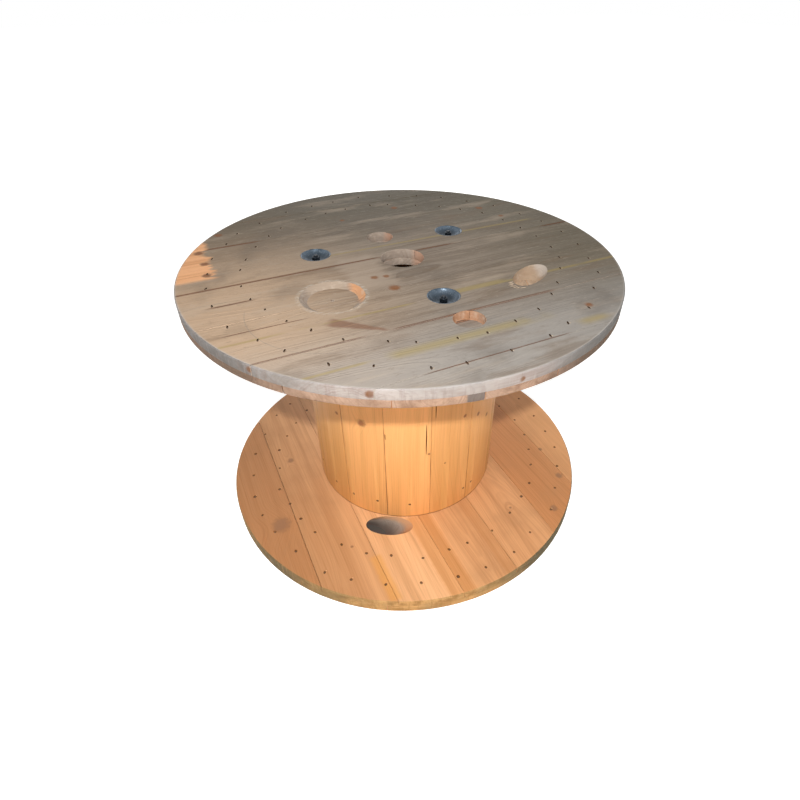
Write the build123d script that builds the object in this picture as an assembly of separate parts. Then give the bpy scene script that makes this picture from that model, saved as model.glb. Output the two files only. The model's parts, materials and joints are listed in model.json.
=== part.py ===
from build123d import *
import math
import os

# Flanges: two crossed layers of boards, the outer layer along X and the inner one along Y
flange_diameter = 800.0
outer_layer = 18.0
inner_layer = 14.0
rim_chamfer = 1.5
board_joint = 0.8

# Outer layer's joints: four at their y, and the first and last boards by their depth at the rim
outer_joints = (-226.0, -106.0, 20.0, 191.0)
near_board_depth = 53.0
far_board_depth = 94.0

# Inner layer's boards: three lie between two joints just outside the rods, and two more on each
# side reach the edge of the panel that the disc is sawn from
rod_joint_gap = 37.2
panel_margin = 18.2

# Barrel: staves with turned faces and flat backs, nailed to a core ring at each end
inner_width = 470.0
barrel_diameter = 404.0
stave_count = 14
stave_thickness = 22.0
stave_joint = 0.6
first_stave_joint = -100.0
core_ring_width = 42.0
core_ring_height = 60.0

# Round holes and pockets, the same in both flanges
hub_diameter = 80.0
drive_diameter = 52.0
drive_ring_gap = 2.7
pocket_diameter = 51.0
pocket_washer_gap = 30.5
pocket_depth = 16.0
recess_offset = 188.0
recess_angle = 207.9
recess_diameter = 108.0
recess_floor_diameter = 84.0
recess_depth = 8.0
pilot_diameter = 6.0
pilot_depth = 4.0

# Slanted cable hole, tangent to the barrel, placed where its axis meets the inner face
cable_diameter = 48.0
cable_slope = 29.0
cable_heading = 29.5
cable_angle = -56.6
cable_barrel_margin = 1.5

# Tie rods, with cup washers and nuts sunk in the outer layers
rod_count = 3
rod_inset = 16.0
first_rod_angle = -90.0
rod_diameter = 8.0
rod_sink = 0.5
rod_end_chamfer = 0.8
rod_clearance = 1.0
thread_clearance = 0.3
washer_diameter = 56.0
washer_sink = 10.0
washer_sheet = 2.0
nut_across_flats = 13.0
nut_height = 6.5
seat_clearance = 0.3

flange_radius = flange_diameter / 2
flange_thickness = outer_layer + inner_layer
total_width = inner_width + 2 * flange_thickness
barrel_radius = barrel_diameter / 2
stave_back = barrel_radius - stave_thickness
core_ring_flats = stave_back - seat_clearance
core_ring_hollow = core_ring_flats - core_ring_width
rod_radius = rod_diameter / 2
rod_offset = stave_back - rod_inset
washer_radius = washer_diameter / 2
washer_height = washer_sink + washer_sheet
drive_offset = core_ring_hollow - drive_ring_gap - drive_diameter / 2
pocket_offset = rod_offset + washer_radius + pocket_washer_gap + pocket_diameter / 2


def polar(radius, angle):
    return Vector(radius * math.cos(math.radians(angle)), radius * math.sin(math.radians(angle)))


rod_centres = [polar(rod_offset, first_rod_angle + k * 360 / rod_count) for k in range(rod_count)]


def upright(radius, height, centre=Vector(0, 0), base=0.0):
    """A cylinder standing along Z from the height base."""
    return Pos(centre.X, centre.Y, base + height / 2) * Cylinder(radius, height)


def cable_bore():
    """The slanted bore of a flange whose inner face is at z=0 and whose outer face is above it."""
    slope = math.radians(cable_slope)
    bore_radius = cable_diameter / 2
    mouth = polar(barrel_radius + cable_barrel_margin + bore_radius, cable_angle)
    level = polar(math.cos(slope), cable_heading)
    axis = Vector(level.X, level.Y, math.sin(slope))
    overrun = cable_diameter / math.tan(slope)
    length = flange_thickness / math.sin(slope) + 2 * overrun
    start = Vector(mouth.X, mouth.Y, 0) - axis * overrun
    return Plane(origin=start, z_dir=axis) * upright(bore_radius, length)


def flange_cutters():
    """Every hole and pocket of one flange, inner face at z=0, outer face at flange_thickness."""
    face = flange_thickness
    cutters = [upright(hub_diameter / 2, face)]
    cutters.append(upright(drive_diameter / 2, face, Vector(0, drive_offset)))
    cutters.append(upright(pocket_diameter / 2, pocket_depth, Vector(0, -pocket_offset), face - pocket_depth))
    recess = polar(recess_offset, recess_angle)
    recess_base = face - recess_depth
    bowl = Cone(recess_floor_diameter / 2, recess_diameter / 2, recess_depth)
    cutters.append(Pos(recess.X, recess.Y, recess_base + recess_depth / 2) * bowl)
    cutters.append(upright(pilot_diameter / 2, pilot_depth, recess, recess_base - pilot_depth))
    for centre in rod_centres:
        cutters.append(upright(rod_radius + rod_clearance, face, centre))
        cutters.append(upright(washer_radius + seat_clearance, washer_height, centre, face - washer_height))
    cutters.append(cable_bore())
    return cutters


def boards(disc, joints, along_x):
    """The disc cut into boards at its joints, each edge held back by half the open joint."""
    edges = [-flange_diameter, *joints, flange_diameter]
    cut = []
    for low, high in zip(edges, edges[1:]):
        width = high - low - board_joint
        middle = (low + high) / 2
        if along_x:
            block = Pos(0, middle, 0) * Box(2 * flange_diameter, width, 2 * flange_thickness)
        else:
            block = Pos(middle, 0, 0) * Box(width, 2 * flange_diameter, 2 * flange_thickness)
        cut.append(disc & block)
    return cut


def flange_boards():
    """The boards of one flange as two lists, the outer layer's first."""
    disc = upright(flange_radius, flange_thickness)
    disc = chamfer(disc.edges(), rim_chamfer)
    for cutter in flange_cutters():
        disc = disc - cutter
    inner_disc = disc & upright(flange_diameter, inner_layer)
    outer_disc = disc & upright(flange_diameter, outer_layer, base=inner_layer)
    uneven = [near_board_depth - flange_radius, *outer_joints, flange_radius - far_board_depth]
    rod_joint = max(centre.X for centre in rod_centres) + rod_joint_gap
    rim_joint = (rod_joint + flange_radius + panel_margin) / 2
    right = [rod_joint / 3, rod_joint, rim_joint]
    even = [-joint for joint in reversed(right)] + right
    return boards(outer_disc, uneven, True), boards(inner_disc, even, False)


def stave():
    """One stave centred on +X: turned face, flat back, edges along the radial joints."""
    half_angle = math.pi / stave_count
    half_gap = stave_joint / 2
    turned = half_angle - math.asin(half_gap / barrel_radius)
    corner = (barrel_radius * math.cos(turned), barrel_radius * math.sin(turned))
    back = (stave_back, stave_back * math.tan(half_angle) - half_gap / math.cos(half_angle))
    with BuildSketch() as section:
        with BuildLine():
            ThreePointArc((corner[0], -corner[1]), (barrel_radius, 0), corner)
            Polyline(corner, back, (back[0], -back[1]), (corner[0], -corner[1]))
        make_face()
    return Pos(0, 0, flange_thickness) * extrude(section.sketch, inner_width)


def core_ring(base):
    """The ring inside the barrel's end, with a flat for each stave's back and bores for the rods."""
    outline = RegularPolygon(core_ring_flats, stave_count, major_radius=False)
    hollow = RegularPolygon(core_ring_hollow, stave_count, major_radius=False)
    ring = Pos(0, 0, base) * Rot(0, 0, first_stave_joint) * extrude(outline - hollow, core_ring_height)
    for centre in rod_centres:
        ring = ring - upright(rod_radius + rod_clearance, core_ring_height, centre, base)
    return ring


def cup_washer():
    """Pressed cup with its rim at z=0, its floor below and a hole for the rod."""
    cup = upright(washer_radius, washer_height, base=-washer_height)
    cup = cup - upright(washer_radius - washer_sheet, washer_sink, base=-washer_sink)
    return cup - upright(rod_radius + thread_clearance, washer_height, base=-washer_height)


def hex_nut():
    blank = extrude(RegularPolygon(nut_across_flats / 2, 6, major_radius=False), nut_height)
    return blank - upright(rod_radius + thread_clearance, nut_height)


def tie_rod():
    rod = upright(rod_radius, total_width - 2 * rod_sink, base=rod_sink)
    return chamfer(rod.edges(), rod_end_chamfer)


upper_flange = Pos(0, 0, flange_thickness + inner_width)
lower_flange = Pos(0, 0, flange_thickness) * Rot(0, 180, 0)
upper_face = Pos(0, 0, total_width)
lower_face = Rot(0, 180, 0)
nut_seat = Pos(0, 0, -washer_sink)

pieces = {}
outer_boards, inner_boards = flange_boards()
for number, board in enumerate(outer_boards, 1):
    pieces[f"upper_outer_board_{number}"] = upper_flange * board
    pieces[f"lower_outer_board_{number}"] = lower_flange * board
for number, board in enumerate(inner_boards, 1):
    pieces[f"upper_inner_board_{number}"] = upper_flange * board
    pieces[f"lower_inner_board_{number}"] = lower_flange * board

first_stave = stave()
for number in range(1, stave_count + 1):
    turn = first_stave_joint + (number - 0.5) * 360 / stave_count
    pieces[f"barrel_stave_{number}"] = Rot(0, 0, turn) * first_stave
pieces["lower_core_ring"] = core_ring(flange_thickness)
pieces["upper_core_ring"] = core_ring(flange_thickness + inner_width - core_ring_height)

rod = tie_rod()
washer = cup_washer()
nut = hex_nut()
for number, centre in enumerate(rod_centres, 1):
    here = Pos(centre.X, centre.Y, 0)
    pieces[f"tie_rod_{number}"] = here * rod
    pieces[f"upper_washer_{number}"] = here * upper_face * washer
    pieces[f"lower_washer_{number}"] = here * lower_face * washer
    pieces[f"upper_nut_{number}"] = here * upper_face * nut_seat * nut
    pieces[f"lower_nut_{number}"] = here * lower_face * nut_seat * nut

os.makedirs("parts", exist_ok=True)
for name, shape in pieces.items():
    export_step(shape, f"parts/{name}.step")
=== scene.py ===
import json
import math
import random

import bpy
from mathutils import Matrix, Vector


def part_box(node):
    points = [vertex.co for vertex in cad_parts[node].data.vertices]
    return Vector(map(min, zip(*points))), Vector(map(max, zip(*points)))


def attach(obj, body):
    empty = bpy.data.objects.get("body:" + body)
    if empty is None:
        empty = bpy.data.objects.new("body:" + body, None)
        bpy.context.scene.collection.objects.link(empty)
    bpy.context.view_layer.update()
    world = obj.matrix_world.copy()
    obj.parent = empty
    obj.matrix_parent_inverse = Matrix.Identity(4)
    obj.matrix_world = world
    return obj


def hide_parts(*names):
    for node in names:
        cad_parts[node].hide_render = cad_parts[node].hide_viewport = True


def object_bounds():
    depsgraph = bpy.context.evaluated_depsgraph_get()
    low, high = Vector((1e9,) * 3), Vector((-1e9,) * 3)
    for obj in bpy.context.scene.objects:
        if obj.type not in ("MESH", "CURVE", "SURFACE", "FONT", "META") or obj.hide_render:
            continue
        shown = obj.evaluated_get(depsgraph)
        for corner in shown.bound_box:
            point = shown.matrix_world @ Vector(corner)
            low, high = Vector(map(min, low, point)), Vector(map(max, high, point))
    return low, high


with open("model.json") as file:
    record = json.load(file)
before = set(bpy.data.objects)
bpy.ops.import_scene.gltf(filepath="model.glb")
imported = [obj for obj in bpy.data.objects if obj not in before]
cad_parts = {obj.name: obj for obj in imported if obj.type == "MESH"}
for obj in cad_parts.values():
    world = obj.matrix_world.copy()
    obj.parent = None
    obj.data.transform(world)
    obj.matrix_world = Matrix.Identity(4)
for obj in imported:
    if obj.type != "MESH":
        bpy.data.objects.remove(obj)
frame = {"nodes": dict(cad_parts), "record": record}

cad_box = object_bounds()

# Places read from the frame, in metres
MM = 0.001
flange_radius = cad_box[1].x
top_face = cad_box[1].z
lower_face = cad_box[0].z
lower_inner_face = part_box("barrel_stave_1")[0].z
upper_inner_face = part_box("barrel_stave_1")[1].z
mounts = {mount["name"]: mount for mount in frame["record"]["mounts"]}
hub_radius = mounts["upper_hub"]["dims"]["r_mm"] * MM
drive_radius = mounts["upper_drive_hole"]["dims"]["r_mm"] * MM
drive_y = mounts["upper_drive_hole"]["pos_m"][1]
pocket_radius = mounts["upper_drive_pocket"]["dims"]["r_mm"] * MM
pocket_y = mounts["upper_drive_pocket"]["pos_m"][1]
barrel_radius = 202 * MM
stave_count = 14
first_stave_joint = -100

# Recess and slanted cable hole of the upper face; the lower flange has them mirrored in x
recess_centre = Vector((-166.1, -88.0)) * MM
recess_radius = 54 * MM
cable_centre = Vector((167.5, -166.0)) * MM
cable_heading = math.radians(29.5)
cable_half_length = 49.5 * MM
cable_half_width = 24 * MM


def polar(radius, degrees, height=0.0):
    angle = math.radians(degrees)
    return Vector((radius * math.cos(angle), radius * math.sin(angle), height))


def colour(hex_code):
    """An sRGB hex value as a linear colour."""
    channels = [int(hex_code[k:k + 2], 16) / 255 for k in (0, 2, 4)]
    return [c / 12.92 if c <= 0.04045 else ((c + 0.055) / 1.055) ** 2.4 for c in channels] + [1.0]


def add(tree, kind, inputs=None, **settings):
    """Adds a shader node, makes its settings, and links or fills its inputs."""
    made = tree.nodes.new("ShaderNode" + kind)
    for name, value in settings.items():
        setattr(made, name, value)
    for socket, value in (inputs or {}).items():
        if isinstance(value, bpy.types.Node):
            value = value.outputs[0]
        if isinstance(value, bpy.types.NodeSocket):
            tree.links.new(value, made.inputs[socket])
        else:
            made.inputs[socket].default_value = value
    return made


def drawn_noise(tree, place, per_metre, detail, roughness=0.5):
    """Noise drawn out along the grain, by its features per metre on each axis."""
    drawn = add(tree, "VectorMath", {0: place, 1: per_metre}, operation="MULTIPLY")
    return add(tree, "TexNoise", {"Vector": drawn, "Scale": 1, "Detail": detail, "Roughness": roughness})


def growth_group():
    """Pine as it grew: a board's own coordinates in, growth rings, fibres, streaks and knots out.

    Grain is in metres, x along the board and y and z from its pith. Swell pushes the rings aside
    round a knot that the material places by itself, and Knot share is how many cells hold one.
    """
    ring_width = 4.5 * MM
    ring_ripple = 3.5 * MM
    trunk_taper = 0.02
    pith_wander = (0, 50 * MM, 70 * MM)
    knot_cell = 165 * MM
    knot_least, knot_spread = 4 * MM, 6 * MM
    knot_swell, swell_reach = 12 * MM, 45 * MM
    tree = bpy.data.node_groups.new("pine_growth", "ShaderNodeTree")
    for name, kind in (("Grain", "Vector"), ("Swell", "Float"), ("Knot share", "Float")):
        tree.interface.new_socket(name, in_out="INPUT", socket_type="NodeSocket" + kind)
    for name in ("Late", "Fibre", "Streak", "Knot", "Knot rim"):
        tree.interface.new_socket(name, in_out="OUTPUT", socket_type="NodeSocketFloat")
    start = tree.nodes.new("NodeGroupInput")
    end = tree.nodes.new("NodeGroupOutput")
    grain = start.outputs["Grain"]
    along, across, deep = add(tree, "SeparateXYZ", {0: grain}).outputs

    # Knots: the points of a cell pattern, each a spike straight through the board
    plan = add(tree, "VectorMath", {0: grain, 1: (0.75, 1, 0)}, operation="MULTIPLY")
    cells = add(tree, "TexVoronoi", {"Vector": plan, "Scale": 1 / knot_cell, "Randomness": 0.75},
                voronoi_dimensions="2D")
    chance, size, _ = add(tree, "SeparateColor", {0: cells.outputs["Color"]}).outputs
    present = add(tree, "Math", {0: chance, 1: start.outputs["Knot share"]}, operation="LESS_THAN")
    ragged = add(tree, "TexNoise", {"Vector": grain, "Scale": 120, "Detail": 2})
    reach = add(tree, "Math", {0: cells.outputs["Distance"], 1: knot_cell}, operation="MULTIPLY")
    reach = add(tree, "Math", {0: ragged, 1: 4 * MM, 2: reach}, operation="MULTIPLY_ADD")
    knot_radius = add(tree, "Math", {0: size, 1: knot_spread, 2: knot_least}, operation="MULTIPLY_ADD")
    inside = add(tree, "Math", {0: knot_radius, 1: reach}, operation="SUBTRACT")
    knot = add(tree, "MapRange", {0: inside, 1: -1 * MM, 2: 1 * MM}, interpolation_type="SMOOTHSTEP")
    knot = add(tree, "Math", {0: knot, 1: present}, operation="MULTIPLY")
    edge = add(tree, "Math", {0: inside}, operation="ABSOLUTE")
    rim = add(tree, "MapRange", {0: edge, 1: 2.2 * MM, 2: 0}, interpolation_type="SMOOTHSTEP")
    rim = add(tree, "Math", {0: rim, 1: present}, operation="MULTIPLY")
    swell = add(tree, "MapRange", {0: reach, 1: swell_reach, 2: 0, 4: knot_swell},
                interpolation_type="SMOOTHERSTEP")
    swell = add(tree, "Math", {0: swell, 1: present}, operation="MULTIPLY")

    # Rings: distance from a pith that wanders along the board, so flat faces show tall arches
    wander = add(tree, "TexNoise", {"W": along, "Scale": 1.8, "Detail": 1}, noise_dimensions="1D")
    pull = add(tree, "VectorMath", {0: wander.outputs["Color"], 1: (0.5, 0.5, 0.5)}, operation="SUBTRACT")
    pull = add(tree, "VectorMath", {0: pull, 1: pith_wander}, operation="MULTIPLY")
    section = add(tree, "CombineXYZ", {1: across, 2: deep})
    section = add(tree, "VectorMath", {0: section, 1: pull}, operation="ADD")
    radius = add(tree, "VectorMath", {0: section}, operation="LENGTH").outputs["Value"]
    ripple = drawn_noise(tree, grain, (3, 24, 24), 2)
    radius = add(tree, "Math", {0: ripple, 1: ring_ripple, 2: radius}, operation="MULTIPLY_ADD")
    radius = add(tree, "Math", {0: along, 1: trunk_taper, 2: radius}, operation="MULTIPLY_ADD")
    radius = add(tree, "Math", {0: radius, 1: swell}, operation="ADD")
    radius = add(tree, "Math", {0: radius, 1: start.outputs["Swell"]}, operation="ADD")
    years = add(tree, "TexNoise", {"W": radius, "Scale": 60, "Detail": 2}, noise_dimensions="1D")
    count = add(tree, "Math", {0: radius, 1: 1 / ring_width}, operation="MULTIPLY")
    count = add(tree, "Math", {0: years, 1: 3.0, 2: count}, operation="MULTIPLY_ADD")
    phase = add(tree, "Math", {0: count}, operation="FRACT")
    rise = add(tree, "MapRange", {0: phase, 1: 0.2, 2: 0.86}, interpolation_type="SMOOTHSTEP")
    fall = add(tree, "MapRange", {0: phase, 1: 1.0, 2: 0.88}, interpolation_type="SMOOTHSTEP")
    vigour = add(tree, "TexNoise", {"W": radius, "Scale": 110, "Detail": 1}, noise_dimensions="1D")
    vigour = add(tree, "MapRange", {0: vigour, 1: 0.35, 2: 0.65, 3: 0.25})
    late = add(tree, "Math", {0: rise, 1: fall}, operation="MULTIPLY")
    late = add(tree, "Math", {0: late, 1: vigour}, operation="MULTIPLY")

    # Fibres and streaks are noise drawn out along the board; real fibres are ten times finer
    fibre = drawn_noise(tree, grain, (7, 270, 270), 3, 0.6)
    streak = drawn_noise(tree, grain, (1.4, 48, 48), 4, 0.6)
    grown = {"Late": late, "Fibre": fibre, "Streak": streak, "Knot": knot, "Knot rim": rim}
    for name, value in grown.items():
        tree.links.new(value.outputs[0], end.inputs[name])
    return tree


growth = growth_group()


class Finish:
    """A wood under work: its tree, the colour so far, and what its marks are placed by.

    A mask is a value from 0 to 1 over the wood, and a colour is laid on where a mask says.
    """

    def __init__(self, name, knots=()):
        self.material = bpy.data.materials.new(name)
        self.material.use_nodes = True
        self.tree = self.material.node_tree
        self.shader = self.tree.nodes["Principled BSDF"]
        self.place = add(self.tree, "TexCoord").outputs["Object"]
        self.grain = add(self.tree, "Attribute", attribute_name="grain").outputs["Vector"]
        self.tone = add(self.tree, "Attribute", attribute_name="tone").outputs["Fac"]
        self.x, self.y, self.z = add(self.tree, "SeparateXYZ", {0: self.place}).outputs
        self.blotch = add(self.tree, "TexNoise", {"Vector": self.place, "Scale": 9, "Detail": 5})
        self.swell, self.knot = self.place_knots(knots)
        self.growth = self.tree.nodes.new("ShaderNodeGroup")
        self.growth.node_tree = growth
        self.tree.links.new(self.grain, self.growth.inputs["Grain"])
        if knots:
            self.tree.links.new(self.swell.outputs[0], self.growth.inputs["Swell"])

    def ramp(self, value, low, high, bottom=0.0, top=1.0):
        """A soft step from bottom to top as the value goes from low to high."""
        ramp = add(self.tree, "MapRange", {0: value, 1: low, 2: high, 3: bottom, 4: top},
                   interpolation_type="SMOOTHSTEP")
        return ramp.outputs[0]

    def place_knots(self, knots):
        """Sums the swell of the rings round the given knots, and takes the darkest of their marks."""
        swell, mark = 0.0, 0.0
        ragged = add(self.tree, "TexNoise", {"Vector": self.place, "Scale": 150, "Detail": 3})
        for centre, radius in knots:
            gap = add(self.tree, "VectorMath", {0: self.place, 1: centre}, operation="DISTANCE")
            gap = gap.outputs["Value"]
            bulge = self.ramp(gap, 4 * radius, 0, 0, 1.3 * radius)
            gap = add(self.tree, "Math", {0: ragged, 1: 0.8 * radius, 2: gap}, operation="MULTIPLY_ADD")
            spot = self.ramp(gap, 1.75 * radius, 0.8 * radius)
            swell = add(self.tree, "Math", {0: bulge, 1: swell}, operation="ADD")
            mark = add(self.tree, "Math", {0: spot, 1: mark}, operation="MAXIMUM")
        return swell, mark

    def overlap(self, mask, *others):
        """What all the masks cover."""
        for other in others:
            mask = add(self.tree, "Math", {0: mask, 1: other}, operation="MULTIPLY")
        return mask

    def tint(self, mask, hex_code, share=1.0):
        """Lays a colour over the wood where the mask says."""
        part = self.overlap(mask, share)
        self.base = add(self.tree, "MixRGB", {0: part, 1: self.base, 2: colour(hex_code)})

    def band(self, value, low, high, soft):
        """One where the value lies between low and high, with soft ends."""
        return self.overlap(self.ramp(value, low - soft, low + soft),
                            self.ramp(value, high + soft, high - soft))

    def patch(self, x0, x1, y0, y1, soft, ragged=0.0):
        """One inside a rectangle of the plan in millimetres, its ends made ragged along the grain."""
        drift = drawn_noise(self.tree, self.place, (12, 90, 12), 3)
        x = add(self.tree, "Math", {0: drift, 1: ragged * MM, 2: self.x}, operation="MULTIPLY_ADD")
        shift = ragged / 2
        return self.overlap(self.band(x, (x0 + shift) * MM, (x1 + shift) * MM, soft * MM),
                            self.band(self.y, y0 * MM, y1 * MM, soft * MM))

    def line(self, y, start, end, width, broken=0.0):
        """A mark in millimetres along the upper face's boards, broken up by noise as far as told."""
        gaps = self.ramp(self.blotch, 0.3 * broken, 0.55 * broken, 0.0 if broken else 1.0)
        run = self.band(self.x, start * MM, end * MM, 14 * MM)
        half = width / 2
        across = self.band(self.y, (y - half) * MM, (y + half) * MM, half * MM)
        return self.overlap(across, run, gaps)

    def body(self, early, late, streak, contrast, second=None, streaky=0.8,
             knot="8a5a3a", knot_rim="5f3c26", share=0.0):
        """The wood's own colour: two board tones, streaks, latewood lines, fibres and knots.

        Contrast and streaky are how strongly the latewood and the streaks show, and share is how
        many cells hold a knot of their own.
        """
        grown = self.growth.outputs
        self.growth.inputs["Knot share"].default_value = share
        self.base = add(self.tree, "MixRGB", {0: self.tone, 1: colour(early), 2: colour(second or early)})
        self.tint(self.ramp(grown["Streak"], 0.4, 0.68), streak, streaky)
        plain = self.ramp(self.tone, 0, 1, 1, 0.45)
        self.tint(self.overlap(grown["Late"], plain), late, contrast)
        self.tint(self.ramp(grown["Fibre"], 0.48, 0.8), late, 0.9 * contrast)
        knots = add(self.tree, "Math", {0: grown["Knot"], 1: self.knot}, operation="MAXIMUM")
        self.tint(knots, knot, 0.85)
        self.tint(grown["Knot rim"], knot_rim, 0.8)

    def done(self, rough, relief, grip=0.3):
        """Links the colour, the roughness and the relief, and gives the material back."""
        tree, grown = self.tree, self.growth.outputs
        tree.links.new(self.base.outputs[0], self.shader.inputs["Base Color"])
        gloss = add(tree, "MapRange", {0: grown["Fibre"], 3: rough - 0.1, 4: rough + 0.1})
        tree.links.new(gloss.outputs[0], self.shader.inputs["Roughness"])
        self.shader.inputs["Specular IOR Level"].default_value = grip
        ridge = add(tree, "Math", {0: grown["Late"], 1: 0.8, 2: grown["Fibre"]}, operation="MULTIPLY_ADD")
        bump = add(tree, "Bump", {"Height": ridge, "Strength": 0.6, "Distance": relief})
        tree.links.new(bump.outputs[0], self.shader.inputs["Normal"])
        return self.material


def face_marks(height, marks):
    """Knots on a flange's face, from their x, y and radius in millimetres."""
    return [(Vector((x * MM, y * MM, height)), radius * MM) for x, y, radius in marks]


def barrel_marks(marks):
    """Knots on the barrel, from their angle, and their height and radius in millimetres."""
    return [(polar(barrel_radius, degrees, lower_inner_face + height * MM), radius * MM)
            for degrees, height, radius in marks]


def weathered_pine():
    """Planed spruce left outdoors: greyed, with brown latewood, yellow resin streaks and one fresh edge."""
    wood = Finish("weathered_pine", face_marks(top_face, (
        (-62, -104, 10), (-78, -54, 7), (-58, -58, 6), (270, 171, 9), (288, 108, 6), (-291, 255, 9),
        (-339, 180, 9), (-336, 127, 8), (-339, 78, 8), (-38, 228, 5), (95, 253, 8), (197, -292, 7))))
    tree, grown = wood.tree, wood.growth.outputs
    wood.body("8d7f70", "604d3b", "675847", 0.5, "988876", 0.65, "6e4c32")

    # Paler tan towards the left and olive and dark towards the back and the right: weathered colour with the
    # painted light and shade of a lamp at the front left; silver along the front, with cloudy patches, paler
    # and darker, and a fuzz of loose fibres
    wood.tint(wood.ramp(wood.x, 20 * MM, -330 * MM), "c8a98b", 0.75)
    wood.tint(wood.ramp(wood.y, -40 * MM, 330 * MM), "544d3e", 0.88)
    wood.tint(wood.ramp(wood.x, 20 * MM, 380 * MM), "605948", 0.72)
    wood.tint(wood.ramp(wood.y, -140 * MM, -340 * MM), "9c9893", 0.7)
    wood.tint(wood.ramp(wood.blotch, 0.48, 0.72), "54493d", 0.4)
    weather = drawn_noise(tree, wood.place, (5, 22, 5), 6, 0.6)
    wood.tint(wood.ramp(weather, 0.52, 0.72), "b3a18d", 0.5)
    wood.tint(wood.ramp(weather, 0.46, 0.3), "6b5640", 0.45)
    fuzz = drawn_noise(tree, wood.place, (60, 240, 60), 3, 0.7)
    wood.tint(wood.ramp(fuzz, 0.55, 0.72), "b5aa9c", 0.26)
    wood.tint(wood.ramp(fuzz, 0.44, 0.3), "65584a", 0.28)

    # Pale heartwood near the hub, and the wedge of a branch cut along its length
    wood.tint(wood.patch(-120, -45, -95, 40, 14, 60), "ad9a87", 0.6)
    root, tip = Vector((-200, -164, 0)) * MM, Vector((-122, -226, 0)) * MM
    axis = (tip - root).normalized()
    offset = add(tree, "VectorMath", {0: wood.place, 1: root}, operation="SUBTRACT")
    along = add(tree, "VectorMath", {0: offset, 1: axis}, operation="DOT_PRODUCT").outputs["Value"]
    aside = add(tree, "VectorMath", {0: offset, 1: (-axis.y, axis.x, 0)}, operation="DOT_PRODUCT")
    aside = add(tree, "Math", {0: aside.outputs["Value"]}, operation="ABSOLUTE")
    half_width = add(tree, "Math", {0: along, 1: -0.1, 2: 11.5 * MM}, operation="MULTIPLY_ADD")
    inside = add(tree, "Math", {0: half_width, 1: aside}, operation="SUBTRACT")
    ragged = add(tree, "Math", {0: fuzz, 1: 0.5}, operation="SUBTRACT")
    inside = add(tree, "Math", {0: ragged, 1: 9 * MM, 2: inside}, operation="MULTIPLY_ADD")
    wedge = wood.overlap(wood.ramp(inside, -4 * MM, 3 * MM), wood.band(along, 3 * MM, 94 * MM, 8 * MM))
    wood.tint(wedge, "785540", 0.8)
    wood.tint(wood.overlap(wood.ramp(grown["Fibre"], 0.5, 0.64), wedge), "a6846a", 0.4)

    # Yellow resin streaks, and brown stain along the joints that have opened
    for y, start, end, width in (
            (-164, 15, 390, 6), (-158, 20, 120, 9), (-166, -370, -60, 4.5), (-289, -150, 120, 17),
            (-288, -300, -180, 5), (-330, 150, 200, 14), (66, -120, 330, 5)):
        wood.tint(wood.line(y, start, end, width, 0.8), "9a8750", 0.6)
    for y, start, end, width in (
            (20, -410, -40, 5), (20, 36, 115, 5.5), (20, 335, 410, 5), (-226, -115, 175, 5.5),
            (-226, -335, -165, 3.5), (191, -330, -225, 6), (-347, -120, 110, 2), (-45, -355, -285, 4),
            (-139, -350, -230, 2)):
        wood.tint(wood.line(y, start, end, width), "5f3a22", 0.9)

    # Sawdust-bright edge where the grey has rubbed off, a scratch, and a paler band along the face's outer
    # edge
    fresh = wood.patch(-420, -328, 62, 268, 8, 60)
    clear = add(tree, "Math", {0: wood.knot, 1: -0.8, 2: 1.0}, operation="MULTIPLY_ADD")
    fresh = wood.overlap(fresh, clear)
    wood.tint(fresh, "f3b583", 0.95)
    wood.tint(wood.overlap(fresh, wood.ramp(grown["Streak"], 0.42, 0.7)), "c98d5c", 0.8)
    swing = add(tree, "VectorMath", {0: wood.place, 1: (-0.18, -0.12, top_face)}, operation="DISTANCE")
    scratch = wood.band(swing.outputs["Value"], 132.3 * MM, 133.4 * MM, 0.7 * MM)
    scratched = wood.patch(-330, -190, -270, -80, 10)
    wood.tint(wood.overlap(scratch, scratched), "8d8175", 0.6)
    wood.tint(wood.knot, "7d4f2c", 0.85)
    reach = add(tree, "CombineXYZ", {0: wood.x, 1: wood.y})
    reach = add(tree, "VectorMath", {0: reach}, operation="LENGTH").outputs["Value"]
    wood.tint(wood.ramp(reach, 395 * MM, 399 * MM), "b9b3ac", 0.5)

    # Paler fuzz where the cutter tore the edge of the recess
    mouth = (recess_centre.x, recess_centre.y, top_face)
    away = add(tree, "VectorMath", {0: wood.place, 1: mouth}, operation="DISTANCE").outputs["Value"]
    round_it = wood.band(away, recess_radius - 1 * MM, recess_radius + 6 * MM, 3 * MM)
    wood.tint(wood.overlap(round_it, wood.ramp(fuzz, 0.42, 0.58)), "c3b8aa", 0.55)
    return wood.done(0.72, 0.8 * MM)


def sawn_pine(name, early, late, side, stain, shade_start, knots=(), smear=None):
    """Spruce sawn round for a rim: fuzzy, with saw marks and knots, and a side colour away from the front and
    from the starting x on: painted shade where the light falls off, partly damp stain.
    """
    wood = Finish(name, [(polar(flange_radius, degrees, height), radius * MM)
                         for degrees, height, radius in knots])
    wood.body(early, late, late, 0.5, knot="8a6044")
    # Side colour away from the front and on the right: painted shade where the light falls off, partly damp
    # stain; then paler again towards the back
    wood.tint(wood.ramp(wood.y, -330 * MM, -180 * MM), side, 0.75)
    wood.tint(wood.ramp(wood.x, shade_start, shade_start + 150 * MM), side, 0.85)
    wood.tint(wood.ramp(wood.y, -190 * MM, 60 * MM), early, 0.65)
    wood.tint(wood.knot, "7d583f", 0.8)
    saw = drawn_noise(wood.tree, wood.place, (170, 170, 16), 3, 0.65)
    wood.tint(wood.ramp(saw, 0.5, 0.72), late, 0.45)
    wood.tint(wood.ramp(saw, 0.46, 0.3), early, 0.3)
    wood.tint(wood.ramp(wood.blotch, 0.45, 0.7), stain, 0.5)
    if smear:
        wood.tint(wood.patch(-85, -60, -405, -370, 2, 3), smear, 0.85)
    return wood.done(0.85, 0.7 * MM, 0.2)


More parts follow.
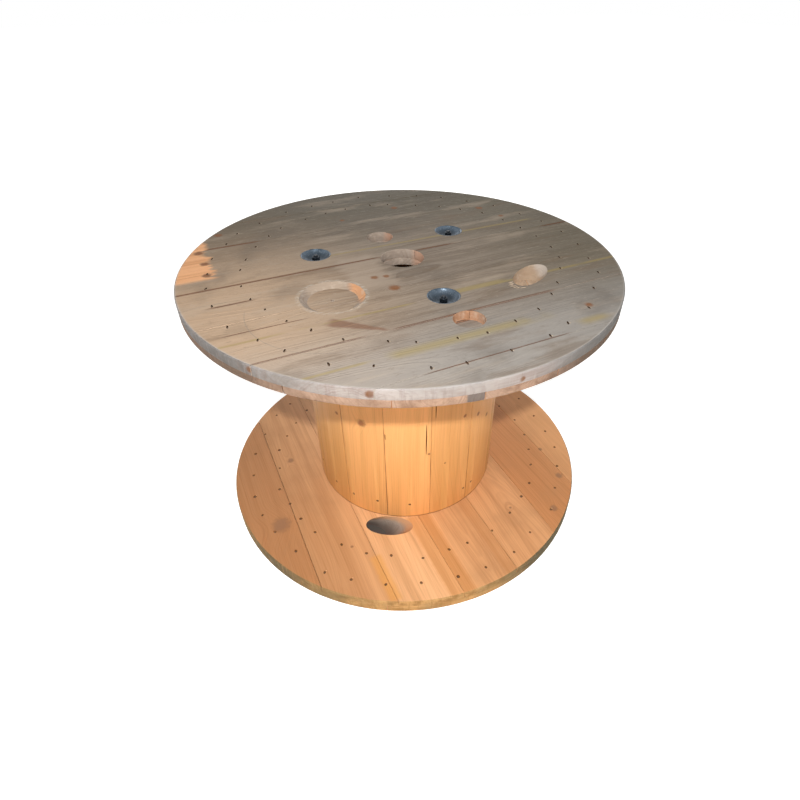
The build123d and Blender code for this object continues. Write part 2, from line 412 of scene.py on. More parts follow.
def planed_pine():
    """Planed spruce kept dry inside the drum: warm and pale, with cathedral arches and brown knots."""
    wood = Finish("planed_pine", face_marks(lower_inner_face, (
        (-330, -88, 19), (217, -305, 8), (288, -232, 8), (-262, 88, 7), (300, -141, 5), (-215, -205, 3),
        (132, -262, 3))))
    wood.body("c48653", "986236", "b17a49", 0.32, "f3c08d", 0.4, "96683f", "74502f", 0.05)
    wood.tint(wood.ramp(wood.blotch, 0.5, 0.75), "b08257", 0.35)
    # Darker towards the left and paler at the far right: painted shade and painted light of a lamp falling
    # off over the face
    wood.tint(wood.ramp(wood.x, -90 * MM, -360 * MM), "98663b", 0.58)
    wood.tint(wood.ramp(wood.x, 260 * MM, 390 * MM), "f5bb82", 0.45)

    # On the lower flange alone: a golden board, a streak of resin and a brown edge
    below = wood.ramp(wood.z, lower_inner_face + 50 * MM, lower_inner_face + 20 * MM)
    for x0, x1, y0, y1, hex_code, share in (
            (-86, -34, -410, -190, "c9863f", 0.4), (-193, -170, -352, -246, "e3a34e", 0.5),
            (35, 60, -410, -190, "b97c45", 0.35)):
        wood.tint(wood.overlap(wood.patch(x0, x1, y0, y1, 5, 6), below), hex_code, share)
    wood.tint(wood.knot, "9a7356", 0.6)
    return wood.done(0.55, 0.25 * MM, 0.4)


def turned_pine():
    """Barrel staves turned round on the lathe: straight bright grain, clean and slightly glossy."""
    wood = Finish("turned_pine", barrel_marks((
        (-138.2, 255, 9), (-91.2, 145, 2.5), (-101.2, 182, 3), (-79.2, 252, 4), (-68.2, 235, 5),
        (-58.2, 210, 5), (-154.7, 255, 4), (25, 300, 8), (95, 140, 9), (170, 330, 7))))
    wood.body("d69e5f", "b3783f", "c99350", 0.32, "f6b775", 0.4, "8a5128")
    # Brown line at the foot of the barrel: painted contact shadow where the staves stand on the flange
    wood.tint(wood.ramp(wood.z, lower_inner_face + 4 * MM, lower_inner_face + 1 * MM), "7d4a24", 0.75)

    # Stain along the joints between staves: staves counted round the barrel, then how far from a joint
    tree = wood.tree
    counted = add(tree, "Math", {0: wood.y, 1: wood.x}, operation="ARCTAN2")
    first = 2.5 - first_stave_joint * stave_count / 360
    counted = add(tree, "Math", {0: counted, 1: stave_count / math.tau, 2: first}, operation="MULTIPLY_ADD")
    off_joint = add(tree, "Math", {0: counted}, operation="FRACT")
    off_joint = add(tree, "Math", {0: off_joint, 1: 0.5}, operation="SUBTRACT")
    off_joint = add(tree, "Math", {0: off_joint}, operation="ABSOLUTE").outputs[0]
    stained = 1.4 * MM * stave_count / (math.tau * barrel_radius)
    seam = wood.ramp(off_joint, stained, 0.4 * stained)
    wood.tint(wood.overlap(seam, wood.ramp(wood.blotch, 0.35, 0.65)), "8a5226", 0.7)
    return wood.done(0.5, 0.2 * MM, 0.45)


def bored_pine():
    """Walls of the holes: greyed where hands and arbors touch them, and still orange where they are fresh."""
    wood = Finish("bored_pine")
    wood.body("a8988a", "857362", "958577", 0.4)

    # Dark low in the lower flange, painted shade deep in its holes, and warm at its face, then places where
    # walls are fresh or pale
    wood.tint(wood.ramp(wood.z, lower_inner_face - 8 * MM, lower_inner_face - 30 * MM), "5c5049", 0.85)
    wood.tint(wood.band(wood.z, lower_inner_face - 9 * MM, lower_inner_face + 5 * MM, 5 * MM), "c9966a", 0.8)
    for x0, x1, y0, y1, hex_code, share in (
            (32, 45, -30, 24, "cf9c7e", 0.7), (20, 30, 92, 130, "d49a7a", 0.7),
            (-128, -106, -130, -55, "d69a6b", 0.8), (-200, -132, -60, -20, "b09c88", 0.7),
            (-30, 30, -280, -215, "b07a52", 0.7),
            (110, 205, -205, -120, "a88b6d", 0.6), (205, 230, -200, -100, "bdafa2", 0.8)):
        wood.tint(wood.patch(x0, x1, y0, y1, 8, 14), hex_code, share)
    rub = add(wood.tree, "TexNoise", {"Vector": wood.place, "Scale": 70, "Detail": 4, "Roughness": 0.65})
    above = wood.ramp(wood.z, lower_inner_face, lower_inner_face + 50 * MM)
    wood.tint(wood.overlap(wood.ramp(rub, 0.5, 0.7), above), "c9b8a6", 0.4)
    return wood.done(0.85, 0.6 * MM, 0.2)


def core_pine():
    """Rough-sawn spruce of the core rings, never seen by the weather."""
    wood = Finish("rough_sawn_pine")
    wood.body("dcb184", "b5814f", "c99a69", 0.45, share=0.1)
    return wood.done(0.8, 0.6 * MM, 0.2)


def torn_pine():
    """Fibres torn up round a nail or a hole's edge: pale, dry and rough."""
    wood = Finish("torn_pine")
    wood.body("b3a08b", "96806a", "a39079", 0.4)
    wood.tint(wood.band(wood.z, lower_inner_face - 5 * MM, upper_inner_face + 5 * MM, 2 * MM), "e2b88b", 0.9)
    return wood.done(0.9, 0.6 * MM, 0.15)


def nail_pit():
    """Crushed wood over a sunk nail, painted near black as the shade in its slot."""
    wood = Finish("shaded_nail_slot_pine")
    wood.body("3b2c20", "20160f", "2c2018", 0.4)
    return wood.done(0.9, 0.4 * MM, 0.1)


def split_pine():
    """The inside of a split or of a nail's dimple in clean wood: dark orange brown."""
    wood = Finish("split_pine")
    wood.body("8a5a30", "5e3a1d", "734823", 0.5)
    return wood.done(0.85, 0.4 * MM, 0.15)


def metal(name, hex_code, second, rough, grime_size, grime_hex, bowl_shade=0.0):
    """Steel, bright with zinc or dull: clouded and specked, with painted shade darkening the bottom of the
    cups.
    """
    material = bpy.data.materials.new(name)
    material.use_nodes = True
    tree = material.node_tree
    shader = tree.nodes["Principled BSDF"]
    place = add(tree, "TexCoord").outputs["Object"]
    cloud = add(tree, "TexNoise", {"Vector": place, "Scale": 1 / grime_size, "Detail": 4})
    speck = add(tree, "TexNoise", {"Vector": place, "Scale": 8 / grime_size, "Detail": 3})
    mixed = add(tree, "MapRange", {0: cloud, 1: 0.35, 2: 0.65})
    base = add(tree, "MixRGB", {0: mixed, 1: colour(hex_code), 2: colour(second)})
    spots = add(tree, "MapRange", {0: speck, 1: 0.58, 2: 0.72})
    base = add(tree, "MixRGB", {0: spots, 1: base, 2: colour(grime_hex)})
    # Painted shade, near black, in the bottom of the cups, by depth below the flanges' outer faces
    height = add(tree, "SeparateXYZ", {0: place}).outputs["Z"]
    off_middle = add(tree, "Math", {0: height, 1: (top_face + lower_face) / 2}, operation="SUBTRACT")
    off_middle = add(tree, "Math", {0: off_middle}, operation="ABSOLUTE")
    outer = (top_face - lower_face) / 2
    bowl_shade_mask = add(tree, "MapRange", {0: off_middle, 1: outer - 3 * MM, 2: outer - 10 * MM},
               interpolation_type="SMOOTHSTEP")
    bowl_shade_mask = add(tree, "Math", {0: bowl_shade_mask, 1: bowl_shade}, operation="MULTIPLY")
    base = add(tree, "MixRGB", {0: bowl_shade_mask, 1: base, 2: colour("23262a")})
    tree.links.new(base.outputs[0], shader.inputs["Base Color"])
    gloss = add(tree, "MapRange", {0: speck, 3: rough - 0.08, 4: rough + 0.15})
    tree.links.new(gloss.outputs[0], shader.inputs["Roughness"])
    shader.inputs["Metallic"].default_value = 1.0
    bump = add(tree, "Bump", {"Height": speck, "Strength": 0.2, "Distance": 0.1 * MM})
    tree.links.new(bump.outputs[0], shader.inputs["Normal"])
    return material


finishes = {
    "weathered": weathered_pine(),
    "upper_rim": sawn_pine("sawn_pine_pale", "b7b0ad", "8f8079", "686866", "85837f", -20 * MM, (
        (-120.7, top_face - 9 * MM, 6), (-90.7, top_face - 11 * MM, 4), (-146, top_face - 8 * MM, 5),
        (38, top_face - 8 * MM, 6), (112, top_face - 10 * MM, 7), (171, top_face - 7 * MM, 5))),
    "upper_inner_rim": sawn_pine("sawn_pine_tan", "b39682", "866a56", "5c5046", "7d6c60", -20 * MM,
                                 smear="67625f"),
    "lower_rim": sawn_pine("sawn_pine_damp_shaded", "d0a56e", "9c7443", "454e42", "7f7454", -30 * MM),
    "planed": planed_pine(),
    "turned": turned_pine(),
    "bored": bored_pine(),
    "core": core_pine(),
    "torn": torn_pine(),
    "pit": nail_pit(),
    "split": split_pine(),
    "washer": metal("zinc_plated_cup", "5f6b77", "48535d", 0.3, 14 * MM, "838d96", 0.55),
    "nut": metal("dull_zinc_nut", "3c4249", "262a2e", 0.5, 5 * MM, "555c64"),
    "rod": metal("oiled_rod_steel", "34383d", "1f2226", 0.45, 4 * MM, "484d54"),
    "nail": metal("rusting_nail_steel", "8b7561", "5f4a39", 0.6, 3 * MM, "a07a58"),
}


def select_only(piece):
    bpy.ops.object.select_all(action="DESELECT")
    piece.select_set(True)
    bpy.context.view_layer.objects.active = piece


def worn_copy(node, arris):
    """A copy of a CAD piece with its triangles merged into clean faces and its arrises worn round."""
    piece = bpy.data.objects.new("worn_" + node, frame["nodes"][node].data.copy())
    bpy.context.scene.collection.objects.link(piece)
    piece.data.materials.clear()
    select_only(piece)
    bpy.ops.mesh.customdata_custom_splitnormals_clear()
    bpy.ops.object.mode_set(mode="EDIT")
    bpy.ops.mesh.select_all(action="SELECT")
    bpy.ops.mesh.remove_doubles(threshold=0.002 * MM)
    bpy.ops.mesh.dissolve_limited(angle_limit=math.radians(0.4))
    bpy.ops.object.mode_set(mode="OBJECT")
    bevel = piece.modifiers.new("arris", "BEVEL")
    bevel.width = arris
    bevel.segments = 2
    bevel.limit_method = "ANGLE"
    bevel.angle_limit = math.radians(30)
    bpy.ops.object.modifier_apply(modifier=bevel.name)
    return piece


def cut(piece, dents, finish):
    """Cuts the dents that reach a piece out of it, and gives their walls the finish."""
    corners = [Vector(corner) for corner in piece.bound_box]
    low = Vector([min(corner[k] for corner in corners) for k in range(3)])
    high = Vector([max(corner[k] for corner in corners) for k in range(3)])
    near = [dent for dent in dents if all(
        low[k] - max(dent[1]) < dent[0][k] < high[k] + max(dent[1]) for k in range(3))]
    if not near:
        return
    bpy.ops.object.select_all(action="DESELECT")
    for number, (centre, half_size, turn) in enumerate(near):
        bpy.ops.mesh.primitive_uv_sphere_add(segments=8, ring_count=6, radius=1, location=centre,
                                             rotation=(0, 0, turn), scale=half_size)
        if number == 0:
            cutter = bpy.context.object
            bpy.ops.object.transform_apply(location=True, rotation=True, scale=True)
            bpy.ops.object.mode_set(mode="EDIT")
    bpy.ops.object.mode_set(mode="OBJECT")
    cutter.data.materials.append(finishes[finish])
    boolean = piece.modifiers.new("dents", "BOOLEAN")
    boolean.operation = "DIFFERENCE"
    boolean.solver = "EXACT"
    boolean.use_self = True
    boolean.material_mode = "TRANSFER"
    boolean.object = cutter
    select_only(piece)
    bpy.ops.object.modifier_apply(modifier=boolean.name)
    bpy.data.objects.remove(cutter)


def give_grain(piece, along, across, pith, tone, chance):
    """Writes each point's place in the board's own wood: along, across and deep from the pith, and a tone."""
    mesh = piece.data
    corners = [Vector(corner) for corner in piece.bound_box]
    centre = sum(corners, Vector()) / 8
    deep = along.cross(across)
    shift = Vector((chance.uniform(3, 40), pith[0], pith[1]))
    grain = mesh.attributes.new("grain", "FLOAT_VECTOR", "POINT")
    values = []
    for vertex in mesh.vertices:
        offset = vertex.co - centre
        values += [offset.dot(along) + shift.x, offset.dot(across) + shift.y, offset.dot(deep) + shift.z]
    grain.data.foreach_set("vector", values)
    shown = mesh.attributes.new("tone", "FLOAT", "POINT")
    shown.data.foreach_set("value", [tone] * len(mesh.vertices))


def in_cable_hole(x, y):
    """Whether a point of the plan is over the slanted bore of the upper flange."""
    away = Vector((x, y)) - cable_centre
    ahead = Vector((math.cos(cable_heading), math.sin(cable_heading)))
    return abs(away.cross(ahead)) < cable_half_width + 2 * MM and abs(away.dot(ahead)) < 2 * cable_half_length


def paint_board(piece, rim, side):
    """Gives a board's faces their finishes by place: sawn rim, and bored walls of holes.

    Side is 1 on the upper flange, and -1 on the lower one, which has its holes mirrored in x.
    """
    mesh = piece.data
    rim_slot = len(mesh.materials)
    for finish in (rim, "bored"):
        mesh.materials.append(finishes[finish])
    round_holes = (((0, 0), hub_radius + 2 * MM), ((0, drive_y), drive_radius + 2 * MM),
                   ((0, pocket_y), pocket_radius + 2 * MM), (recess_centre, recess_radius + 1 * MM))
    for polygon in mesh.polygons:
        if polygon.material_index != 0 or abs(polygon.normal.z) > 0.95:
            continue
        x, y = polygon.center.x * side, polygon.center.y
        if math.hypot(x, y) > flange_radius - 4 * MM:
            polygon.material_index = rim_slot
        elif in_cable_hole(x, y) or any(math.dist((x, y), centre) < reach for centre, reach in round_holes):
            polygon.material_index = rim_slot + 1


def shade(piece):
    """Smooths curved walls and keeps flat faces flat."""
    select_only(piece)
    bpy.ops.object.shade_smooth_by_angle(angle=math.radians(32))
    for polygon in piece.data.polygons:
        if max(abs(part) for part in polygon.normal) > 0.9995:
            polygon.use_smooth = False


def settle(piece, slot, *nodes):
    """Puts a finished piece on the drum, in the place of the nodes that it stands for."""
    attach(piece, "root")
    if nodes:
        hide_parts(*nodes)


def gathered(name, model, places, slot):
    """Copies of a small model at the places, joined into one piece; the model itself goes."""
    copies = []
    for place in places:
        copy = bpy.data.objects.new(name, model.data.copy())
        bpy.context.scene.collection.objects.link(copy)
        copy.data.transform(place)
        copies.append(copy)
    select_only(copies[0])
    for copy in copies:
        copy.select_set(True)
    bpy.ops.object.join()
    joined = bpy.context.object
    joined.name = name
    bpy.data.objects.remove(model)
    settle(joined, slot)


# Nails: two rings in each face, in steps round from where the photograph shows them best, and how
# deep their bent-over tips and their heads lie
tip_rings = (292 * MM, 352 * MM)
head_rings = (304 * MM, 365 * MM)
nails_in_ring = 34
first_nail, nail_step = 197.5, 10.6
nail_head_radius = 2.7 * MM
tip_sink, head_sink = 1.3 * MM, 0.6 * MM

# The dents that are cut out of the wood have their middles just above its face
dent_lift = 0.12 * MM


def nail_head():
    """A flat round head with a rounded edge, its top in the plane z=0."""
    thick = 1 * MM
    bpy.ops.object.select_all(action="DESELECT")
    bpy.ops.mesh.primitive_cylinder_add(vertices=12, radius=nail_head_radius, depth=thick,
                                        location=(0, 0, -thick / 2))
    head = bpy.context.object
    bpy.ops.object.transform_apply(location=True)
    bpy.ops.object.mode_set(mode="EDIT")
    bpy.ops.mesh.select_all(action="SELECT")
    bpy.ops.mesh.bevel(offset=0.35 * MM, segments=2)
    bpy.ops.object.mode_set(mode="OBJECT")
    head.data.materials.append(finishes["nail"])
    bpy.ops.object.shade_smooth_by_angle(angle=math.radians(40))
    return head


def clinched_tip():
    """The point of a nail bent over and hammered into the wood, lying along Y, its ends bowed down."""
    bow = 40
    bpy.ops.object.select_all(action="DESELECT")
    bpy.ops.mesh.primitive_cone_add(vertices=8, radius1=1.25 * MM, radius2=0.35 * MM, depth=8 * MM,
                                    rotation=(-math.pi / 2, 0, 0), scale=(1, 0.7, 1))
    tip = bpy.context.object
    bpy.ops.object.transform_apply(rotation=True, scale=True)
    bpy.ops.object.mode_set(mode="EDIT")
    bpy.ops.mesh.select_all(action="SELECT")
    bpy.ops.mesh.subdivide(number_cuts=1)
    bpy.ops.object.mode_set(mode="OBJECT")
    for vertex in tip.data.vertices:
        vertex.co.z -= bow * vertex.co.y ** 2
    tip.data.materials.append(finishes["nail"])
    bpy.ops.object.shade_smooth_by_angle(angle=math.radians(40))
    return tip


def flange_nails(face_height, outward, seed):
    """Two rings of nails on a flange face: where each lies, and the slots and scrapes it leaves."""
    chance = random.Random(seed)
    up = 1 if face_height in (top_face, lower_inner_face) else -1
    face = Matrix.Translation((0, 0, face_height)) @ Matrix.Rotation(0 if up > 0 else math.pi, 4, "X")
    slots, scrapes, places = [], [], []
    level = Vector((0, 0, dent_lift * up))
    for radius in tip_rings if outward else head_rings:
        for step in range(nails_in_ring):
            degrees = first_nail + step * nail_step + chance.uniform(-1.5, 1.5)
            spot = polar(radius + chance.uniform(-5, 5) * MM, degrees, face_height)
            turn = chance.uniform(-0.5, -0.1)
            long = chance.uniform(3.4, 5.2) * MM
            scrape = (chance.uniform(1.0, 2.2) * MM, 1.0 * MM, 0.6 * MM)
            if outward:
                slots.append((spot + level, (1.7 * MM, long, 2.8 * MM), turn))
                scrapes.append((spot + level + Vector((2.4 * MM, -1.5 * MM, 0)), scrape, turn))
                shape, sink = Matrix.Rotation(turn * up, 4, "Z"), tip_sink
            else:
                slots.append((spot + level, (chance.uniform(2.4, 4.0) * MM, long * 0.8, 1.3 * MM), 4 * turn))
                if chance.random() < 0.45:
                    scrapes.append((spot + level + Vector((3.6 * MM, 2 * MM, 0)), scrape, turn))
                shape, sink = Matrix.Scale(long / (2 * nail_head_radius), 4), head_sink
            places.append(face @ Matrix.Translation((spot.x, spot.y * up, -sink)) @ shape)
    return slots, scrapes, places


# Boards: for each layer its nails, the finishes of its faces and of its rim, and its slot
chance = random.Random(2187)
along_x, along_y, up = Vector((1, 0, 0)), Vector((0, 1, 0)), Vector((0, 0, 1))
layers = {
    "upper_outer": (flange_nails(top_face, True, 7), "weathered", "upper_rim", "weathered_pine"),
    "upper_inner": (flange_nails(upper_inner_face, False, 8), "planed", "upper_inner_rim",
                    "pine_upper_inner"),
    "lower_inner": (flange_nails(lower_inner_face, False, 9), "planed", "lower_rim", "pine_lower_inner"),
    "lower_outer": (flange_nails(lower_face, True, 10), "planed", "lower_rim", "pine_lower_outer"),
}

# Fibres torn up along the recess's near edge and at the mouth of the cable hole
tears = []
tear_height = top_face + dent_lift
for number in range(44):
    degrees = chance.uniform(140, 320)
    edge = polar(recess_radius + chance.uniform(-1, 5) * MM, degrees, tear_height)
    half_size = (chance.uniform(1, 4.5) * MM, chance.uniform(0.5, 1.1) * MM, 0.5 * MM)
    tears.append((edge + recess_centre.to_3d(), half_size, chance.uniform(-0.4, 0.4)))
for number in range(12):
    aside = chance.uniform(-16, 16) * MM
    edge = Vector((-cable_half_length * math.sqrt(1 - (aside / cable_half_width) ** 2), aside, 0))
    edge = Matrix.Rotation(cable_heading, 3, "Z") @ edge + cable_centre.to_3d()
    edge.z = tear_height
    tears.append((edge, (chance.uniform(3, 8) * MM, 1.2 * MM, 0.9 * MM), chance.uniform(-0.1, 0.35)))

# Tones of the lower inner boards, from low x to high, as the photograph shows them, and the boards
# that are flat-sawn: their pith is under their middle, so they show arches, and the others lines
inner_tones = (0.4, 0.75, 1.0, 0.65, 0.5, 0.1, 0.4)
flat_sawn = (1, 3, 4, 6)
board_arris, stave_arris, ring_arris = 0.5 * MM, 0.3 * MM, 0.6 * MM
for layer, ((slots, scrapes, places), face, rim, slot) in layers.items():
    side = 1 if layer.startswith("upper") else -1
    directions = (along_x, along_y) if layer.endswith("outer") else (along_y, along_x)
    for number in range(1, 8):
        board = worn_copy(f"{layer}_board_{number}", board_arris)
        board.data.materials.append(finishes[face])
        cut(board, scrapes + tears, "torn")
        cut(board, slots, "pit" if layer.endswith("outer") else "split")
        paint_board(board, rim, side)
        tone = inner_tones[-number] if layer == "lower_inner" else chance.random()
        off_centre = chance.uniform(0, 25) if number in flat_sawn else chance.uniform(30, 90)
        pith = (chance.choice((-1, 1)) * off_centre * MM, chance.uniform(12, 40) * MM)
        give_grain(board, *directions, pith, tone, chance)
        shade(board)
        settle(board, slot, f"{layer}_board_{number}")
    if layer.endswith("outer"):
        gathered(layer.replace("outer", "clinched_nails"), clinched_tip(), places, "rod_steel")
    else:
        gathered(layer.replace("inner", "nail_heads"), nail_head(), places, "rod_steel")

# Barrel: three splits, by angle, height and half sizes, and the nails that the photograph shows in
# three staves, by angle from the stave's middle; each other stave has one nail at either end
splits = [(polar(barrel_radius, degrees, lower_inner_face + height * MM),
           tuple(size * MM for size in half_size), math.radians(degrees))
          for degrees, height, half_size in (
              (-102.7, 221, (7, 1.1, 41)), (-97.7, 330, (6, 1.1, 62)), (-125.1, 231, (3, 0.9, 8)))]
seen_nails = {13: (-9.6, 6.9), 14: (0.7,), 1: (10.9,)}
nail_from_end = 46 * MM
head_places = []
for number in range(1, stave_count + 1):
    angle = first_stave_joint + (number - 0.5) * 360 / stave_count
    stave = worn_copy(f"barrel_stave_{number}", stave_arris)
    stave.data.materials.append(finishes["turned"])
    nails = []
    for height in (lower_inner_face + nail_from_end, upper_inner_face - nail_from_end):
        for offset in seen_nails.get(number, (chance.uniform(-9, 9),)):
            turn = math.radians(angle + offset)
            place = polar(barrel_radius, angle + offset, height + chance.uniform(-8, 8) * MM)
            nails.append((place, (1.4 * MM, 2.9 * MM, 2.9 * MM), turn))
            outwards = Matrix.Rotation(turn, 4, "Z") @ Matrix.Rotation(math.pi / 2, 4, "Y")
            head_places.append(Matrix.Translation(place) @ outwards @ Matrix.Translation((0, 0, -head_sink)))
    cut(stave, nails + splits, "split")
    radial = polar(1, angle)
    tone = 1.0 if number == stave_count else chance.uniform(0, 0.6)
    pith = (chance.choice((-1, 1)) * chance.uniform(0.07, 0.16), chance.uniform(0.0, 0.03))
    give_grain(stave, up, radial.cross(up), pith, tone, chance)
    shade(stave)
    settle(stave, "stave_pine", f"barrel_stave_{number}")
gathered("barrel_nail_heads", nail_head(), head_places, "rod_steel")

for name in ("upper_core_ring", "lower_core_ring"):
    ring = worn_copy(name, ring_arris)
    ring.data.materials.append(finishes["core"])
    give_grain(ring, along_x, along_y, (0.05, 0.04), 0.5, chance)
    shade(ring)
    settle(ring, "core_pine", name)


def turned(name, profile, steps):
    """A piece turned about Z to a profile of radii and heights: a ring, or capped if the profile is open."""
    closed = profile[0] == profile[-1]
    bpy.ops.object.select_all(action="DESELECT")
    bpy.ops.mesh.primitive_circle_add(vertices=steps, radius=profile[0][0], location=(0, 0, profile[0][1]))
    piece = bpy.context.object
    piece.name = name
    bpy.ops.object.transform_apply(location=True)
    bpy.ops.object.mode_set(mode="EDIT")
    bpy.ops.mesh.select_all(action="SELECT")
    for (radius, height), (next_radius, next_height) in zip(profile, profile[1:]):
        bpy.ops.mesh.extrude_edges_move(TRANSFORM_OT_translate={"value": (0, 0, next_height - height)})
        scale = next_radius / radius
        bpy.ops.transform.resize(value=(scale, scale, 1), center_override=(0, 0, 0))
    bpy.ops.mesh.select_all(action="SELECT")
    bpy.ops.mesh.remove_doubles(threshold=0.001 * MM)
    if not closed:
        bpy.ops.mesh.fill_holes(sides=0)
    bpy.ops.mesh.select_all(action="SELECT")
    bpy.ops.mesh.normals_make_consistent(inside=False)
    bpy.ops.object.mode_set(mode="OBJECT")
    return piece


def cup():
    """Pressed cup washer: a round bowl with a flat seat, a rolled rim, and a hole for the rod."""
    profile = [(28, -0.9), (27.8, -0.25), (27.2, 0), (26.5, -0.2), (25.9, -0.8), (24.8, -2.3),
               (22.8, -4.5), (20.2, -6.6), (17, -8.4), (13.4, -9.6), (10, -10), (4.4, -10), (4.4, -12),
               (10.4, -12), (14.2, -11.6), (18.2, -10.3), (21.7, -8.3), (24.6, -5.9), (26.6, -3.6),
               (27.6, -1.9), (28, -0.9)]
    return turned("cup", [(radius * MM, height * MM) for radius, height in profile], 64)


def hex_nut(across_corners, height):
    """M8 nut: a turned blank with chamfered ends, cut to a hexagon with corners on X."""
    corner = across_corners / 2
    profile = [(4.1 * MM, 0.5 * MM), (4.6 * MM, 0), (0.85 * corner, 0), (corner, 0.12 * corner),
               (corner, height - 0.12 * corner), (0.85 * corner, height), (4.6 * MM, height),
               (4.1 * MM, height - 0.5 * MM), (4.1 * MM, 0.5 * MM)]
    nut = turned("nut", profile, 48)
    bpy.ops.mesh.primitive_cylinder_add(vertices=6, radius=corner, depth=4 * height,
                                        rotation=(0, 0, math.pi / 6))
    hexagon = bpy.context.object
    bpy.ops.object.transform_apply(rotation=True)
    boolean = nut.modifiers.new("flats", "BOOLEAN")
    boolean.operation = "INTERSECT"
    boolean.solver = "EXACT"
    boolean.object = hexagon
    select_only(nut)
    bpy.ops.object.modifier_apply(modifier=boolean.name)
    bpy.data.objects.remove(hexagon)
    return nut


def threaded_rod(low, high):
    """M8 rod: a plain shank with its ends threaded, each turn of thread a ridge at the real pitch."""
    major, minor, pitch, threads = 3.97 * MM, 3.35 * MM, 1.25 * MM, 18
    profile = [(2.9 * MM, low)]
    for turn in range(threads):
        profile += [(minor, low + (turn + 0.5) * pitch), (major, low + (turn + 1) * pitch)]
    mirrored = [(radius, low + high - height) for radius, height in reversed(profile)]
    return turned("rod", profile + mirrored, 20)


def hardware(model, name, place, finish, slot, node):
    """One copy of a turned part with its own mesh, put in its place."""
    piece = bpy.data.objects.new(name, model.data.copy())
    bpy.context.scene.collection.objects.link(piece)
    piece.data.transform(place)
    piece.data.materials.append(finishes[finish])
    select_only(piece)
    bpy.ops.object.shade_smooth_by_angle(angle=math.radians(35))
    settle(piece, slot, node)


rod_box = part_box("tie_rod_1")
nut_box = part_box("upper_nut_1")
nut_sink = top_face - nut_box[0].z
cup_model = cup()
nut_model = hex_nut((nut_box[1] - nut_box[0]).x, (nut_box[1] - nut_box[0]).z)
rod_model = threaded_rod(rod_box[0].z, rod_box[1].z)
for number in (1, 2, 3):
    low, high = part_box(f"tie_rod_{number}")
    axis = Matrix.Translation(((low.x + high.x) / 2, (low.y + high.y) / 2, 0))
    hardware(rod_model, f"threaded_rod_{number}", axis, "rod", "rod_steel", f"tie_rod_{number}")
    for flange, height, turn in (("upper", top_face, 0), ("lower", lower_face, math.pi)):
        seat = axis @ Matrix.Translation((0, 0, height)) @ Matrix.Rotation(turn, 4, "X")
        hardware(cup_model, f"{flange}_cup_{number}", seat, "washer", "zinc_washer",
                 f"{flange}_washer_{number}")
        seat = seat @ Matrix.Translation((0, 0, -nut_sink))
        hardware(nut_model, f"{flange}_hex_nut_{number}", seat, "nut", "zinc_nut", f"{flange}_nut_{number}")
for model in (cup_model, nut_model, rod_model):
    bpy.data.objects.remove(model)

# Stage: a pale floor that is white to the camera, more faintly near the drum, so that its shadow
# shows, and painted dark under the drum, a painted shadow, so that nothing shines up through the holes
bpy.ops.object.select_all(action="DESELECT")
bpy.ops.mesh.primitive_plane_add(size=30, location=(0, 0, lower_face))
floor = bpy.context.object
floor.name = "floor"
paper = bpy.data.materials.new("white_paper")
paper.use_nodes = True
tree = paper.node_tree
shader = tree.nodes["Principled BSDF"]
shader.inputs["Roughness"].default_value = 0.9
shader.inputs["Specular IOR Level"].default_value = 0.1
light_path = add(tree, "LightPath")
lift = add(tree, "Math", {0: light_path.outputs["Is Camera Ray"], 1: light_path.outputs["Is Glossy Ray"]},
           operation="MAXIMUM")
reach = add(tree, "VectorMath", {0: add(tree, "TexCoord").outputs["Object"]}, operation="LENGTH")
reach = reach.outputs["Value"]
# Dark under the drum: painted shadow in the floor's colour, with no glow there
clear = add(tree, "MapRange", {0: reach, 1: flange_radius - 30 * MM, 2: flange_radius - 5 * MM})
shown = add(tree, "MixRGB", {0: clear, 1: colour("5a5550"), 2: colour("dcdbd8")})
tree.links.new(shown.outputs[0], shader.inputs["Base Color"])
far = add(tree, "MapRange", {0: reach, 1: 0.9, 2: 3.0, 3: 0.78, 4: 1.0})
lift = add(tree, "Math", {0: lift, 1: clear}, operation="MULTIPLY")
lift = add(tree, "Math", {0: lift, 1: far}, operation="MULTIPLY")
shader.inputs["Emission Color"].default_value = colour("ffffff")
tree.links.new(lift.outputs[0], shader.inputs["Emission Strength"])
floor.data.materials.append(paper)

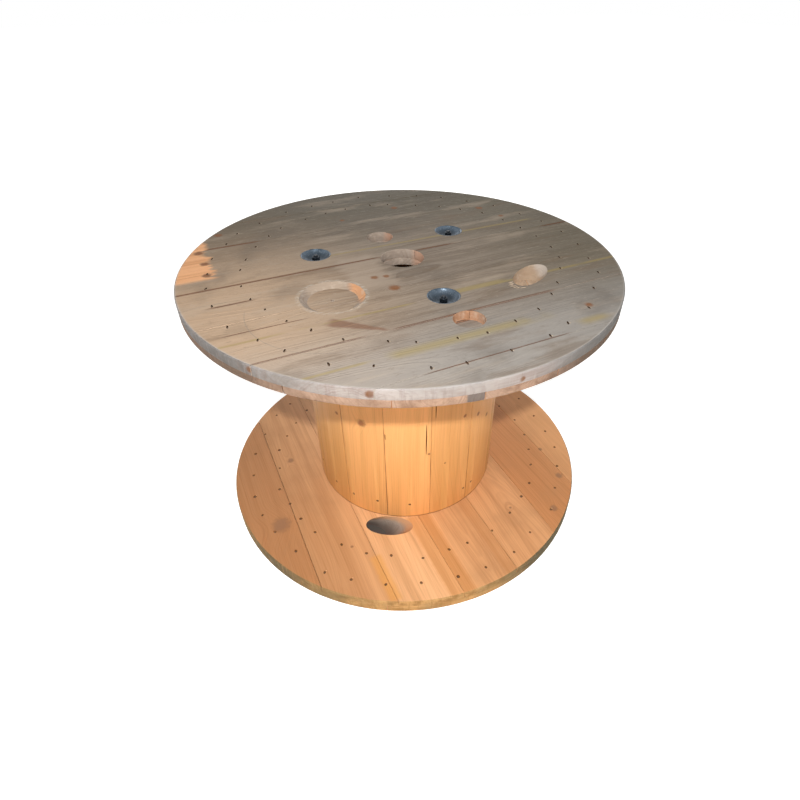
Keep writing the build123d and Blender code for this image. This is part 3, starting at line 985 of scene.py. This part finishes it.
world = bpy.data.worlds.new("studio")
bpy.context.scene.world = world
bpy.context.scene.view_settings.view_transform = "Standard"
world.use_nodes = True
tree = world.node_tree
light_path = add(tree, "LightPath")
seen = add(tree, "Math", {0: light_path.outputs["Is Camera Ray"], 1: light_path.outputs["Is Glossy Ray"]},
           operation="MAXIMUM")
seen = add(tree, "Math", {0: seen, 1: light_path.outputs["Is Transmission Ray"]}, operation="MAXIMUM")
strength = add(tree, "MapRange", {0: seen, 3: 0.24, 4: 1.0})
tree.nodes["Background"].inputs["Color"].default_value = colour("ffffff")
tree.links.new(strength.outputs[0], tree.nodes["Background"].inputs["Strength"])

# Camera at the photograph's place, close above the drum, as worked out from the flanges' rims
camera_bearing = -114.2
bpy.ops.object.camera_add()
camera = bpy.context.object
camera.data.lens = 23.79
camera.data.shift_x = -0.02866
camera.data.shift_y = -0.01267
camera_place = Vector((-0.3814, -0.8487, 0.9492))
turn = Matrix.Rotation(-0.4666, 4, "Z") @ Matrix.Rotation(-0.6647, 4, "X") @ Matrix.Rotation(-0.0109, 4, "Y")
upright = Matrix.Rotation(math.radians(90), 4, "X")
camera.matrix_world = Matrix.Translation(camera_place) @ turn @ upright
bpy.context.scene.camera = camera


def lamp(name, place, aim, size, power, hex_code="ffffff"):
    """A square area lamp that the camera can't see, with its size in metres and its power in watts."""
    bpy.ops.object.light_add(type="AREA", location=place)
    made = bpy.context.object
    made.name = name
    made.data.size = size
    made.data.energy = power
    made.data.color = colour(hex_code)[:3]
    made.visible_camera = False
    made.rotation_mode = "QUATERNION"
    made.rotation_quaternion = (aim - place).to_track_quat("-Z", "Y")


# A small key lamp above the camera throws the flange's shadow band on the barrel, three soft boxes fill
# in from the sides and the back, and a warm card low in front lights the barrel under the flange
middle = Vector((0, 0, 0.25))
lamp("key", polar(1.25, camera_bearing, 1.39), Vector((0, 0, 0.3)), 0.045, 22)
lamp("left_box", polar(2.2, -175, 1.2), middle, 1.4, 7)
lamp("right_box", polar(2.2, -50, 0.9), middle, 1.4, 6)
lamp("back_box", polar(2.4, 70, 0.8), middle, 1.6, 15)
lamp("low_card", polar(1.15, camera_bearing, 0.22), Vector((0, 0, 0.42)), 0.5, 1.8, "ffcd8c")
